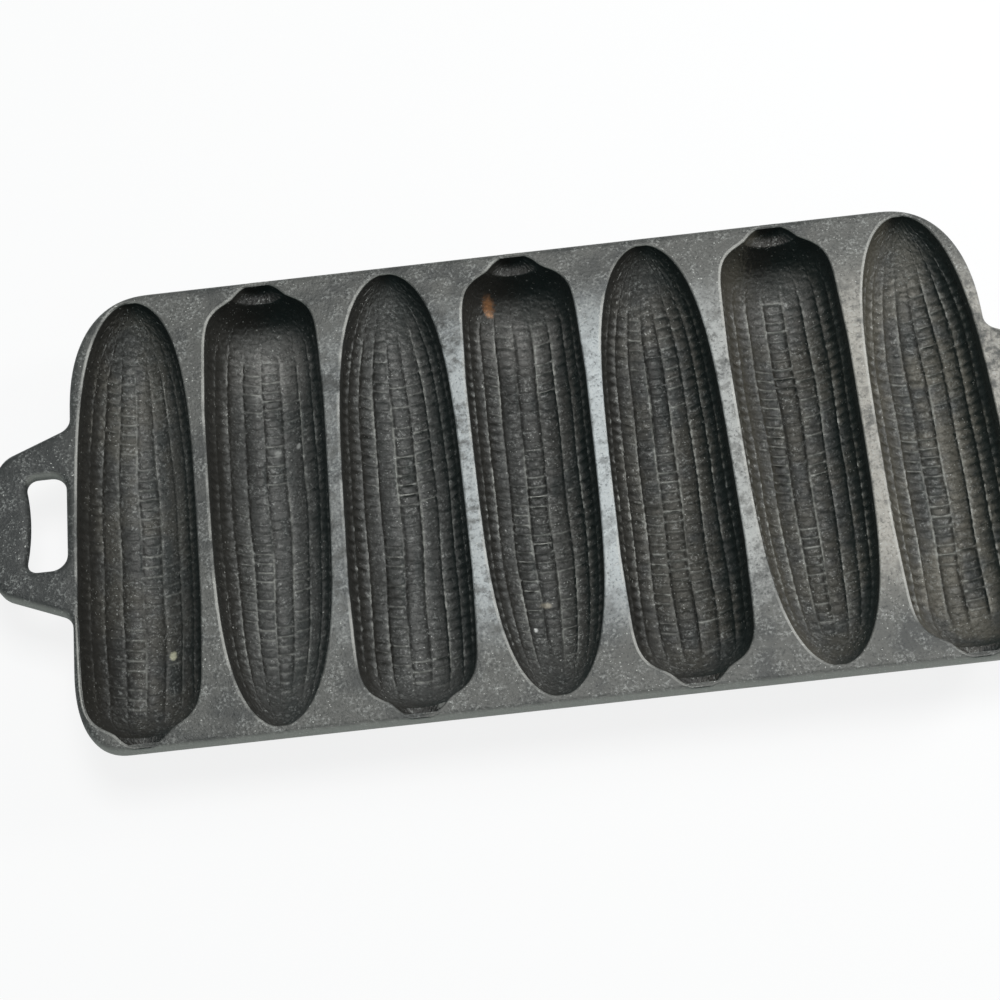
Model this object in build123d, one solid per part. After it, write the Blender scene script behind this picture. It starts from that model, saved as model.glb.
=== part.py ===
from build123d import *
import os
from math import asin, cos, hypot, pi, sin

# Cast iron corn stick pan: a flat deck with a bow handle at each end and seven cob shaped cups.
# Millimetres. X runs along the row of cups, Y away from the cook, Z up.
# The origin is under the middle of the pan, on the surface that it rests on.

# Row of cups
cup_count = 7
web_width = 3.7
end_margin = 1.75
edge_margin = 1.8

# One cup, measured from its middle: the tip points to +Y and the stem to -Y
cup_width = 36.3
cup_depth = 22.4
cup_wall = 3.4
tip_reach = 71.1
widest_place = 30.0
tip_taper_share = 0.06
butt_taper_share = 0.07
tip_fullness = 4.8
butt_fullness = 9.0
tip_floor_fullness = 3.4
butt_floor_fullness = 3.8

# Shallow trough for the cob's stem
stem_reach = 72.3
stem_width = 17.4
stem_taper = 4.2
stem_taper_run = 4.6
stem_depth = 5.5
stem_run = 8.4
stem_round_over = 0.3
stem_step = 3.7
stem_fullness = 12.0
stem_end_wall = 1.5
stem_wall_fullness = 2.2
shoulder_blend = 7.0

# Kernels of the cob
row_count = 9
kernel_pitch = 3.2
kernel_relief = 0.9
rung_relief = 0.15
wall_relief_share = 0.3
kernel_fade = 16.0
tip_plain = 15.0
butt_plain = 16.0
plain_section_count = 10
blunt_end = 0.5

# Flat that each cup rests on
rest_flat = 0.4

# Deck
deck_thickness = 3.5
deck_edge_round = 1.0
mouth_ease = 0.2
tip_corner_gap = 4.1
tip_corner_slope = 1.5
stem_corner_gap = 16.1
stem_corner_slope = 1.6875
corner_fullness = 2.4
corner_point_count = 8

# Bow handles
handle_reach = 28.4
handle_root_width = 62.0
handle_tip_width = 46.0
handle_tip_bow = 9.0
handle_corner_round = 8.0
handle_root_round = 4.5
slot_length = 30.4
slot_width = 12.9
slot_start = 1.3
slot_pinch = 1.8
slot_inner_round = 4.8
slot_outer_round = 3.2

# Modelling allowances
overrun = 5.0
rim_point_count = 36
outer_section_count = 18
outer_point_count = 12
walk_steps = 96

# Worked out sizes
cup_pitch = cup_width + web_width
pan_height = cup_depth + cup_wall - rest_flat
deck_bottom = pan_height - deck_thickness
butt_reach = stem_reach - stem_step
body_half_length = cup_pitch * (cup_count - 1) / 2 + cup_width / 2 + end_margin
body_half_width = max(tip_reach, stem_reach) + edge_margin
handle_joint = body_half_length + slot_start + slot_width / 2

# Each corner of the body begins a gap above the root of the handle, and rises faster than it runs in
tip_corner_rise = body_half_width - handle_root_width / 2 - tip_corner_gap
tip_corner_run = tip_corner_rise / tip_corner_slope
stem_corner_rise = body_half_width - handle_root_width / 2 - stem_corner_gap
stem_corner_run = stem_corner_rise / stem_corner_slope


def rounding(share, fullness):
    """Falls from 1 at the middle of a form to 0 at its end, later as the fullness grows."""
    return max(0.0, 1 - share**fullness) ** 0.5


def blend(first, second):
    """The larger of two sizes, with a soft passage where they are alike."""
    return (first**shoulder_blend + second**shoulder_blend) ** (1 / shoulder_blend)


def stem_at(place, grow):
    """Half width of the stem's trough at a place, and the share of its depth that is left there."""
    end_wall, fullness = (stem_end_wall, stem_wall_fullness) if grow else (0.0, stem_fullness)
    share = (-place - stem_reach + stem_run) / (stem_run + stem_round_over + end_wall)
    left = rounding(min(max(share, 0.0), 1.0), fullness)
    to_end = min(max(place + stem_reach, 0.0) / stem_taper_run, 1.0)
    return (stem_width / 2 + grow - stem_taper * (1 - to_end)) * left, left


def section_at(place, grow=0.0):
    """Half width at the rim and depth below it of a cup at a place along it, grown by a wall."""
    half_width, depth = cup_width / 2 + grow, cup_depth + grow
    if place > -widest_place:
        share = min((place + widest_place) / (tip_reach + grow + widest_place), 1.0)
        half_width *= (1 - tip_taper_share * share) * rounding(share, tip_fullness)
        return half_width, depth * rounding(share, tip_floor_fullness)
    share = min((-place - widest_place) / (butt_reach + grow - widest_place), 1.0)
    half_width *= (1 - butt_taper_share * share) * rounding(share, butt_fullness)
    depth *= rounding(share, butt_floor_fullness)
    half_stem, stem = stem_at(place, grow)
    return blend(half_width, half_stem), blend(depth, (stem_depth + grow) * stem)


def width_below(place, level):
    """Half width of the hollow at a level below the rim, or 0 where it isn't that deep."""
    half_width, depth = section_at(place)
    return half_width * rounding(level / depth, 2) if depth > level else 0.0


def end_below(side, level, grow=0.0):
    """Place where the floor comes up through a level, towards the tip (1) or the stem (-1)."""
    inner = 0.0
    outer = (tip_reach if side > 0 else stem_reach) + grow
    if section_at(side * outer, grow)[1] > level:
        return side * outer
    for _ in range(walk_steps):
        middle = (inner + outer) / 2
        if section_at(side * middle, grow)[1] > level:
            inner = middle
        else:
            outer = middle
    return side * inner


class Section:
    """The curved cross section of a cup at one place, from a level below the rim downwards."""

    def __init__(self, place, level, spans, grow=0.0):
        """Sets out spans of even length; turns holds the angles where they begin and end."""
        self.place = place
        self.half_width, self.depth = section_at(place, grow)
        start = asin(min(level / self.depth, 1.0))
        fine = [start + (pi - 2 * start) * i / walk_steps for i in range(walk_steps + 1)]
        runs = [0.0]
        for near, far in zip(fine, fine[1:]):
            runs.append(runs[-1] + (self.point(far) - self.point(near)).length)
        self.turns = []
        step = 0
        for i in range(spans + 1):
            wanted = runs[-1] * i / spans
            while step < walk_steps - 1 and runs[step + 1] < wanted:
                step += 1
            part = (wanted - runs[step]) / (runs[step + 1] - runs[step])
            self.turns.append(fine[step] + (fine[step + 1] - fine[step]) * part)

    def point(self, turn, push=0.0):
        """Point on the section at an angle, pushed out into the wall, less where the wall is steep."""
        out_x, out_z = self.depth * cos(turn), self.half_width * sin(turn)
        length = hypot(out_x, out_z)
        push *= wall_relief_share + (1 - wall_relief_share) * out_z / length
        x = self.half_width * cos(turn) + push * out_x / length
        z = self.depth * sin(turn) + push * out_z / length
        return Vector(x, self.place, pan_height - z)


def relief_at(place):
    """Share of the full kernel relief at a place along the cup: none at its two ends."""
    to_tip = tip_reach - tip_plain - place
    to_butt = place + stem_reach - butt_plain
    return max(0.0, min(1.0, to_tip / kernel_fade, to_butt / kernel_fade))


def kernel_wire(place, index):
    """Section through the hollow: pockets and rungs take turns from row to row."""
    section = Section(place, deck_thickness, 2 * row_count)
    edges = []
    for row in range(row_count):
        start, middle, end = section.turns[2 * row : 2 * row + 3]
        relief = kernel_relief if (row + index) % 2 else rung_relief
        push = relief * relief_at(place)
        arc = ThreePointArc(section.point(start), section.point(middle, push), section.point(end))
        edges.append(arc)
    edges.append(Line(edges[-1] @ 1, edges[0] @ 0))
    return Wire(edges)


def hollow_places():
    """Places of the sections: two to each kernel, and closer plain ones towards both ends."""
    first, last = butt_plain - stem_reach, tip_reach - tip_plain
    kernels = round((last - first) / kernel_pitch)
    places = [first + (last - first) * i / (2 * kernels) for i in range(2 * kernels + 1)]
    stem_end = end_below(-1, deck_thickness + blunt_end)
    tip_end = end_below(1, deck_thickness + blunt_end)
    for i in range(1, plain_section_count + 1):
        swing = sin(pi / 2 * i / plain_section_count)
        places.append(last + (tip_end - last) * swing)
        places.insert(0, first + (stem_end - first) * swing)
    return places


def make_hollow():
    """The cob shaped space below the deck, with its rows of kernels."""
    wires = [kernel_wire(place, index) for index, place in enumerate(hollow_places())]
    return Solid.make_loft(wires)


def outer_wire(place):
    """Section through the smooth outside of a cup, closed across at rim level."""
    section = Section(place, 0.0, outer_point_count, cup_wall)
    curve = Spline(*[section.point(turn) for turn in section.turns])
    return Wire([curve, Line(curve @ 1, curve @ 0)])


def make_outside():
    """The smooth outside of a cup, before its neighbours and the deck cut it off."""
    stem_end = end_below(-1, deck_thickness, cup_wall)
    tip_end = end_below(1, deck_thickness, cup_wall)
    middle, half = (tip_end + stem_end) / 2, (tip_end - stem_end) / 2
    turns = [pi * i / outer_section_count for i in range(outer_section_count + 1)]
    return Solid.make_loft([outer_wire(middle - half * cos(turn)) for turn in turns])


def mouth_outline(level):
    """Edge of a cup's mouth at a level below the top of the deck, a little clear of the hollow."""
    stem_end, tip_end = end_below(-1, level), end_below(1, level)
    middle, half = (tip_end + stem_end) / 2, (tip_end - stem_end) / 2
    turns = [pi * i / rim_point_count for i in range(1, rim_point_count)]
    places = [middle - half * cos(turn) for turn in turns]
    side = [(width_below(place, level) + mouth_ease, place) for place in places]
    corner_x = width_below(stem_end, level)
    if corner_x > blunt_end:
        side.insert(0, (corner_x, stem_end - mouth_ease))
    other_side = [(-x, y) for x, y in reversed(side)]
    points = [(0.0, stem_end - mouth_ease)] + side + [(0.0, tip_end + mouth_ease)] + other_side
    return Wire([Spline(*[Vector(x, y, pan_height - level) for x, y in points], periodic=True)])


def make_mouth():
    """The opening of one cup through the deck, a little wider at the top."""
    return Solid.make_loft([mouth_outline(0.0), mouth_outline(deck_thickness)])


def cup_place(index):
    """Where a cup stands in the row, turned end for end on every other one."""
    x = cup_pitch * (index - (cup_count - 1) / 2)
    return Pos(x, 0, 0) * Rot(0, 0, 180 * (index % 2))


def corner_points(x_side, y_side):
    """Points round one corner of the body, from its end to its long side."""
    index = 0 if x_side < 0 else cup_count - 1
    is_tip = (y_side > 0) == (index % 2 == 0)
    run, rise = (tip_corner_run, tip_corner_rise) if is_tip else (stem_corner_run, stem_corner_rise)
    points = []
    for i in range(corner_point_count + 1):
        turn = pi / 2 * i / corner_point_count
        x = body_half_length - run + run * cos(turn) ** (2 / corner_fullness)
        y = body_half_width - rise + rise * sin(turn) ** (2 / corner_fullness)
        points.append(Vector(x_side * x, y_side * y))
    return points


def body_face():
    """Outline of the body without its handles."""
    far_right, near_right = corner_points(1, 1), corner_points(1, -1)
    far_left, near_left = corner_points(-1, 1), corner_points(-1, -1)
    up, along = (0, 1), (1, 0)
    edges = [
        Spline(*far_right, tangents=(up, (-1, 0))),
        Line(far_right[-1], far_left[-1]),
        Spline(*reversed(far_left), tangents=((-1, 0), (0, -1))),
        Line(far_left[0], near_left[0]),
        Spline(*near_left, tangents=((0, -1), along)),
        Line(near_left[-1], near_right[-1]),
        Spline(*reversed(near_right), tangents=(along, up)),
        Line(near_right[0], far_right[0]),
    ]
    return Face(Wire(edges))


def handle_face():
    """Outline of the right handle, starting inside the body."""
    root_x, tip_x = body_half_length, body_half_length + handle_reach - handle_tip_bow
    root_y, tip_y = handle_root_width / 2, handle_tip_width / 2
    edges = [
        Polyline((root_x, -root_y), (root_x - overrun, -root_y), (root_x - overrun, root_y), (root_x, root_y)),
        Line((root_x, root_y), (tip_x, tip_y)),
        ThreePointArc((tip_x, tip_y), (tip_x + handle_tip_bow, 0), (tip_x, -tip_y)),
        Line((tip_x, -tip_y), (root_x, -root_y)),
    ]
    face = make_face(edges)
    return fillet(face.vertices().filter_by_position(Axis.X, tip_x, tip_x), handle_corner_round)


def slot_face():
    """Outline of the right handle's slot, pinched where the fingers curl round the bow."""
    inner_x = body_half_length + slot_start
    outer_x, end_y = inner_x + slot_width, slot_length / 2
    edges = [
        Polyline((outer_x, -end_y), (inner_x, -end_y), (inner_x, end_y), (outer_x, end_y)),
        ThreePointArc((outer_x, end_y), (outer_x - slot_pinch, 0), (outer_x, -end_y)),
    ]
    face = fillet(make_face(edges).vertices().sort_by(Axis.X)[-2:], slot_outer_round)
    return fillet(face.vertices().sort_by(Axis.X)[:2], slot_inner_round)


def make_plate():
    """Deck and handles in one plate, with rounded upper edges and no mouths yet."""
    handle, slot = handle_face(), slot_face()
    outline = body_face() + handle + mirror(handle, Plane.YZ)
    roots = [
        vertex
        for vertex in outline.vertices()
        if abs(abs(vertex.X) - body_half_length) < blunt_end
        and abs(abs(vertex.Y) - handle_root_width / 2) < blunt_end
    ]
    outline = fillet(roots, handle_root_round) - slot - mirror(slot, Plane.YZ)
    plate = extrude(Pos(0, 0, deck_bottom) * outline, deck_thickness)
    return fillet(plate.faces().sort_by(Axis.Z)[-1].edges(), deck_edge_round)


def box_between(low_x, high_x, low_z, high_z):
    """A block across the whole pan between two places along X and two heights."""
    size_y = 2 * (body_half_width + overrun)
    middle = Pos((low_x + high_x) / 2, 0, (low_z + high_z) / 2)
    return middle * Box(high_x - low_x, size_y, high_z - low_z)


def make_deck(plate):
    """The deck with its seven mouths, out to the joint with each handle."""
    deck = plate & box_between(-handle_joint, handle_joint, 0, pan_height + overrun)
    mouth = make_mouth()
    for index in range(cup_count):
        deck -= cup_place(index) * mouth
    return deck


def make_cups():
    """The seven cups below the deck, each cut off half way to its neighbours."""
    outside, hollow = make_outside(), make_hollow()
    body = extrude(body_face(), deck_bottom)
    cups = []
    for index in range(cup_count):
        place = cup_place(index)
        x = place.position.X
        low_x = x - cup_pitch / 2 if index > 0 else -body_half_length - overrun
        high_x = x + cup_pitch / 2 if index < cup_count - 1 else body_half_length + overrun
        cell = body & box_between(low_x, high_x, -overrun, deck_bottom)
        cups.append((place * outside) & cell - place * hollow)
    return cups


def main():
    """Writes each sub-part as a STEP file of its own."""
    os.makedirs("parts", exist_ok=True)
    plate = make_plate()
    far_x = handle_joint + handle_reach
    handle = plate & box_between(handle_joint, far_x, 0, pan_height + overrun)
    export_step(make_deck(plate), "parts/deck_plate.step")
    export_step(handle, "parts/right_handle.step")
    export_step(mirror(handle, Plane.YZ), "parts/left_handle.step")
    for index, cup in enumerate(make_cups()):
        export_step(cup, f"parts/cob_cup_{index + 1}.step")


main()
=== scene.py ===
"""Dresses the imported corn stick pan.

Seven cob shaped cups, a flat deck and two bow handles, all of seasoned cast iron.
"""

from __future__ import annotations

import logging
from dataclasses import dataclass, field
from enum import Enum
from math import cos, pi, radians, sin, sqrt

import bpy
import numpy as np
from mathutils import Matrix, Vector
from mathutils.geometry import delaunay_2d_cdt

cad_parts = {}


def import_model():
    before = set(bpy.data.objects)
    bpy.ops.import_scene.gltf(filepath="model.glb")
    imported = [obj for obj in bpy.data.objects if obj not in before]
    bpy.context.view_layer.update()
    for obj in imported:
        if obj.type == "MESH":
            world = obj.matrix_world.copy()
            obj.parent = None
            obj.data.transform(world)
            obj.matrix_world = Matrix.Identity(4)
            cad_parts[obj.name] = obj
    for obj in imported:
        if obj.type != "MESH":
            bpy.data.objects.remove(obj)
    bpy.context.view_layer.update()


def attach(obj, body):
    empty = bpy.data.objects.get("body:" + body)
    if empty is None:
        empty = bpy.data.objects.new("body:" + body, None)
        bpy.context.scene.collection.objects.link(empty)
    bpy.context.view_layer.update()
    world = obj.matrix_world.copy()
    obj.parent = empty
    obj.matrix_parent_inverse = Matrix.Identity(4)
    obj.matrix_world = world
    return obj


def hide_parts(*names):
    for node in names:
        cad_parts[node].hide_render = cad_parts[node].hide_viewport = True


BODY = "root"
SLOT = "seasoned_cast_iron"
METRE = 0.001
SEARCH_STEPS = 60
ARC_STEPS = 6
SHORTEST_EDGE = 0.001
TINY = 1e-12

log = logging.getLogger("corn_stick_pan")


class Side(Enum):
    """The two ends of a cob, as a sign along it."""

    TIP = 1
    STEM = -1


class Hand(Enum):
    """The two ends of the pan, as a sign along X."""

    LEFT = -1
    RIGHT = 1


def rounding(share: np.ndarray, fullness: float) -> np.ndarray:
    """Falls from 1 at the middle of a form to 0 at its end, later as the fullness grows.

    Args:
        share: How far along the form each place is, from 0 to 1.
        fullness: How square the form's end is.

    Returns:
        The share of the full size that is left at each place.
    """
    return np.sqrt(np.maximum(0.0, 1.0 - share**fullness))


def smooth_step(value: np.ndarray) -> np.ndarray:
    """Eases a value between 0 and 1 in and out, and holds it there beyond both."""
    held = np.clip(value, 0.0, 1.0)
    return held * held * (3.0 - 2.0 * held)


@dataclass(frozen=True)
class CobForm:
    """Shape of one cob hollow in millimetres, measured from its middle, with the tip towards +Y."""

    width: float = 36.3
    depth: float = 22.4
    wall: float = 3.4
    tip_reach: float = 71.1
    widest: float = 30.0
    tip_taper: float = 0.06
    butt_taper: float = 0.07
    tip_fullness: float = 4.8
    butt_fullness: float = 9.0
    tip_floor: float = 3.4
    butt_floor: float = 3.8
    hollow_butt_floor: float = 6.0
    stem_reach: float = 72.3
    stem_width: float = 17.4
    stem_taper: float = 4.2
    stem_taper_run: float = 4.6
    stem_depth: float = 5.5
    stem_run: float = 8.4
    stem_over: float = 0.3
    stem_step: float = 3.7
    stem_fullness: float = 12.0
    stem_end_wall: float = 1.5
    stem_wall_fullness: float = 2.2
    shoulder: float = 7.0

    def section(self, place: np.ndarray, grow: float = 0.0) -> tuple[np.ndarray, np.ndarray]:
        """Half width at the rim and depth below it.

        Args:
            place: Places along the cob.
            grow: Thickness of the wall to add.

        Returns:
            The half widths and the depths at those places.
        """
        half, depth = self.width / 2 + grow, self.depth + grow
        share = np.clip((place + self.widest) / (self.tip_reach + grow + self.widest), 0.0, 1.0)
        tip_half = half * (1 - self.tip_taper * share) * rounding(share, self.tip_fullness)
        tip_depth = depth * rounding(share, self.tip_floor)
        butt_reach = self.stem_reach - self.stem_step + grow
        share = np.clip((-place - self.widest) / (butt_reach - self.widest), 0.0, 1.0)
        butt_half = half * (1 - self.butt_taper * share) * rounding(share, self.butt_fullness)
        butt_depth = depth * rounding(share, self.butt_floor if grow else self.hollow_butt_floor)
        end_wall, fullness = 0.0, self.stem_fullness
        if grow:
            end_wall, fullness = self.stem_end_wall, self.stem_wall_fullness
        share = (-place - self.stem_reach + self.stem_run) / (self.stem_run + self.stem_over + end_wall)
        left = rounding(np.clip(share, 0.0, 1.0), fullness)
        to_end = np.clip((place + self.stem_reach) / self.stem_taper_run, 0.0, 1.0)
        stem_half = (self.stem_width / 2 + grow - self.stem_taper * (1 - to_end)) * left
        butt_half = self._blend(butt_half, stem_half)
        butt_depth = self._blend(butt_depth, (self.stem_depth + grow) * left)
        at_tip = place > -self.widest
        return np.where(at_tip, tip_half, butt_half), np.where(at_tip, tip_depth, butt_depth)

    def _blend(self, first: np.ndarray, second: np.ndarray) -> np.ndarray:
        """The larger of two sizes, with a soft passage where they are alike."""
        return (first**self.shoulder + second**self.shoulder) ** (1 / self.shoulder)

    def reach(self, side: Side, level: float, grow: float = 0.0) -> float:
        """Finds where the floor comes up through a level.

        Args:
            side: Which end of the cob.
            level: Depth below the rim.
            grow: Thickness of the wall to add.

        Returns:
            The place along the cob.
        """
        reach = self.tip_reach if side is Side.TIP else self.stem_reach + self.stem_over
        inner, outer = 0.0, reach + grow
        for _ in range(SEARCH_STEPS):
            middle = (inner + outer) / 2
            _, depth = self.section(np.array([side.value * middle]), grow)
            inner, outer = (middle, outer) if depth[0] > level else (inner, middle)
        return side.value * inner


@dataclass(frozen=True)
class Pressing:
    """What the kernels do to each point of a hollow: its push into the wall, its wear with a painted
    highlight on the crests, and painted shade in the grooves.
    """

    push: np.ndarray
    crest: np.ndarray
    groove: np.ndarray


@dataclass(frozen=True)
class Wave:
    """A swing along the cob, by its rate, its size and its shift from row to row."""

    rate: float
    size: float
    row_shift: float = 0.0

    def at(self, along: np.ndarray, row: np.ndarray, start: np.ndarray) -> np.ndarray:
        """Height of the swing at each point.

        Args:
            along: Share of the way along the cob.
            row: Row of each point.
            start: Angle that the swing starts from.

        Returns:
            From minus to plus the swing's size.
        """
        return self.size * np.sin(self.rate * along + self.row_shift * row + start)


@dataclass(frozen=True)
class Kernels:
    """Nine rows of kernel pockets, with a sharp worn crest between the rows and thin rungs within each."""

    rows: int = 9
    pitch: float = 3.2
    relief: float = 1.25
    cup_shares: tuple[float, ...] = (0.55, 0.7, 0.9, 1.0, 0.95, 1.0, 1.0)
    bowl_share: float = 0.6
    drop_power: float = 7.0
    rise_power: float = 10.0
    pillow_share: float = 0.34
    outer_pillow: float = 1.6
    wall_share: float = 0.5
    full_row: float = 6.0
    rung_half: float = 0.4
    rung_draws: int = 64
    rung_draw_least: float = 0.2
    rung_height: float = 0.8
    rung_least: float = 0.12
    rung_plain_share: float = 0.1
    rung_outer_drop: float = 0.75
    # Rung wear and the crest share are wear with a painted highlight; the groove share is painted shade in
    # a band beside each crest.
    rung_wear: float = 2.2
    rung_wear_start: float = 0.25
    rung_wear_across: float = 1.6
    crest_half: float = 0.36
    crest_level: float = 0.38
    groove_half: float = 0.5
    groove_place: float = 0.55
    tip_plain: float = 5.5
    tip_fade: float = 20.0
    butt_plain: float = 6.0
    butt_fade: float = 13.0
    wander: float = 0.06
    slow_bend: Wave = Wave(4.3, 1.0, 0.5)
    quick_bend: Wave = Wave(11.0, 0.5, 0.9)
    uneven: Wave = Wave(16.0, 0.07)
    ladder: Wave = Wave(5.0, 0.9)
    swell: Wave = Wave(6.0, 0.16, 2.3)
    slow_crest: Wave = Wave(5.0, 0.42)
    quick_crest: Wave = Wave(19.0, 0.2)
    seed: int = 11

    def pressed(
        self, row: np.ndarray, place: np.ndarray, width: np.ndarray, form: CobForm, cup: int
    ) -> Pressing:
        """Works out the kernels at each point of a hollow.

        Args:
            row: Row coordinate across the hollow, outside 0 to the number of rows in the plain band.
            place: Places along the cob.
            width: Width of a row at each point.
            form: The hollow that carries the kernels.
            cup: Number of the cup, so that no two cups are alike.

        Returns:
            The push in millimetres, the share of wear with a painted highlight on the crests, and the share
            of painted shade in the grooves.
        """
        draw = np.random.default_rng(self.seed + cup)
        phase = draw.uniform(0, 2 * pi, (6, self.rows + 2))
        along = place / form.tip_reach
        bend = self.slow_bend.at(along, row, phase[0, 0]) + self.quick_bend.at(along, row, phase[0, 1])
        warped = row + self.wander * bend
        number = np.clip(np.floor(warped), 0, self.rows - 1).astype(int)
        share = np.clip(warped - number, 0.0, 1.0)
        middle = self.rows // 2
        inward = np.where(number < middle, share, 1.0 - share)
        to_outer = np.where(number == middle, np.minimum(share, 1.0 - share), inward)
        across = self._across(np.where(number == middle, share, inward), number == middle)
        outer_row = np.abs(number - middle) / middle
        count = place / self.pitch + draw.uniform(0, 1, self.rows)[number]
        count = count + self.uneven.at(along, number, phase[1, number])
        beat = count - np.floor(count)
        nearest = np.rint(count).astype(int) % self.rung_draws
        ladder = smooth_step(0.5 + self.ladder.at(along, number, phase[2, number]))
        drawn = draw.uniform(self.rung_draw_least, 1, (self.rows, self.rung_draws))[number, nearest]
        height = self.rung_height * drawn * (self.rung_plain_share + (1.0 - self.rung_plain_share) * ladder)
        height = self.rung_least + height * (1.0 - self.rung_outer_drop * outer_row**2)
        rung = np.exp(-((np.minimum(beat, 1.0 - beat) * self.pitch / self.rung_half) ** 2))
        pillow = 1.0 - self.pillow_share * (1.0 + self.outer_pillow * outer_row) * (2.0 * beat - 1.0) ** 2
        strength = 1.0 - self.swell.size + self.swell.at(along, number, phase[0, 2])
        fading = self._fading(place, width, form) * self.cup_shares[cup]
        fading = np.where((warped > 0) & (warped < self.rows), fading, 0.0)
        push = self.relief * strength * fading * across * (1.0 - height * rung) * pillow
        edge = np.rint(warped).astype(int) % (self.rows + 1)
        ridge = np.exp(-((np.minimum(share, 1.0 - share) * width / self.crest_half) ** 2))
        patchy = self.crest_level + self.slow_crest.at(along, edge, phase[3, edge])
        patchy = patchy + self.quick_crest.at(along, edge, phase[4, edge])
        # Wear with a painted highlight on the worn rungs and crests, and painted shade in the grooves.
        rung_wear_and_highlight = self.rung_wear * (height - self.rung_wear_start) * rung
        rung_wear_and_highlight = rung_wear_and_highlight * np.minimum(across * self.rung_wear_across, 1.0)
        crest = fading * np.clip(np.maximum(ridge * patchy, rung_wear_and_highlight), 0.0, 1.0)
        groove = fading * np.exp(-(((to_outer * width - self.groove_place) / self.groove_half) ** 2))
        return Pressing(push, crest, groove)

    def _fading(self, place: np.ndarray, width: np.ndarray, form: CobForm) -> np.ndarray:
        """Share of the relief that is left towards both ends and where the rows are narrow.

        Args:
            place: Places along the cob.
            width: Width of a row at each point.
            form: The hollow that carries the kernels.

        Returns:
            The share at each point.
        """
        to_tip = (form.tip_reach - self.tip_plain - place) / self.tip_fade
        to_butt = (place + form.stem_reach - form.stem_step - self.butt_plain) / self.butt_fade
        return smooth_step(to_tip) * smooth_step(to_butt) * np.clip(width / self.full_row, 0.0, 1.0)

    def _across(self, share: np.ndarray, both: np.ndarray) -> np.ndarray:
        """Depth of a pocket across its row: a bowl with a steep drop on its outer side.

        Args:
            share: How far each point lies from the row's outer edge to its inner one.
            both: True in the middle row, which drops on both sides.

        Returns:
            The share of the full depth.
        """
        bowl = 4.0 * share * (1.0 - share)
        drop = (1.0 - (1.0 - share) ** self.drop_power) * (1.0 - share**self.rise_power)
        even = 1.0 - np.abs(2.0 * share - 1.0) ** self.drop_power
        return self.bowl_share * bowl + (1.0 - self.bowl_share) * np.where(both, even, drop)


class Sheet:
    """An open grid of points that a primitive grid takes its shape from."""

    def __init__(self, name: str, points: np.ndarray) -> None:
        """Adds a primitive grid and moves its vertices onto the points.

        Args:
            name: Name of the new object.
            points: Rows by columns by three, in millimetres.
        """
        rows, columns = points.shape[:2]
        deselect()
        bpy.ops.mesh.primitive_grid_add(x_subdivisions=columns - 1, y_subdivisions=rows - 1, size=2.0)
        self.piece = bpy.context.object
        self.piece.name = name
        flat = vertices_of(self.piece)
        self.column = np.rint((flat[:, 0] + 1) / 2 * (columns - 1)).astype(int)
        self.row = np.rint((flat[:, 1] + 1) / 2 * (rows - 1)).astype(int)
        move_vertices(self.piece, points[self.row, self.column])

    def paint(self, name: str, shares: np.ndarray) -> None:
        """Stores a share for each point of the grid as an attribute of its own."""
        layer = self.piece.data.attributes.new(name, "FLOAT", "POINT")
        layer.data.foreach_set("value", shares[self.row, self.column].astype(np.float32))


def deselect() -> None:
    """Leaves nothing selected, so that the next operator acts on its own piece alone."""
    bpy.ops.object.select_all(action="DESELECT")


def make_active(piece: bpy.types.Object) -> None:
    """Selects one piece alone and makes it the active one."""
    deselect()
    piece.select_set(True)
    bpy.context.view_layer.objects.active = piece


def vertices_of(piece: bpy.types.Object) -> np.ndarray:
    """Places of a piece's vertices, by three."""
    flat = np.empty(len(piece.data.vertices) * 3, np.float32)
    piece.data.vertices.foreach_get("co", flat)
    return flat.reshape(-1, 3)


def move_vertices(piece: bpy.types.Object, points: np.ndarray) -> None:
    """Moves a piece's vertices onto points."""
    piece.data.vertices.foreach_set("co", points.astype(np.float32).ravel())
    piece.data.update()


def face_outwards() -> None:
    """Points every face of the piece in edit mode outwards."""
    bpy.ops.mesh.select_all(action="SELECT")
    bpy.ops.mesh.normals_make_consistent(inside=False)


def to_metres(piece: bpy.types.Object) -> None:
    """Brings a piece from millimetres to metres, with the change in its mesh."""
    make_active(piece)
    bpy.ops.transform.resize(value=(METRE, METRE, METRE), center_override=(0, 0, 0))
    bpy.ops.object.transform_apply(location=True, rotation=True, scale=True)


def thinned(loop: np.ndarray, shortest: float) -> np.ndarray:
    """Leaves out points of a closed loop that crowd together.

    Args:
        loop: Points of the loop.
        shortest: Least distance between two kept points.

    Returns:
        The kept points.
    """
    kept = [loop[0]]
    for point in loop[1:]:
        if np.linalg.norm(point - kept[-1]) >= shortest and np.linalg.norm(point - kept[0]) >= shortest / 2:
            kept.append(point)
    return np.array(kept)


def inside(points: np.ndarray, loop: np.ndarray) -> np.ndarray:
    """Tells which points lie inside a closed loop.

    Args:
        points: Points by two.
        loop: Points of the loop by two.

    Returns:
        True for each point that lies inside.
    """
    result = np.zeros(len(points), bool)
    for near, far in zip(loop, np.roll(loop, -1, 0)):
        if near[1] == far[1]:
            continue
        crosses = (near[1] > points[:, 1]) != (far[1] > points[:, 1])
        at_x = near[0] + (points[:, 1] - near[1]) * (far[0] - near[0]) / (far[1] - near[1])
        result ^= crosses & (points[:, 0] < at_x)
    return result


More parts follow.
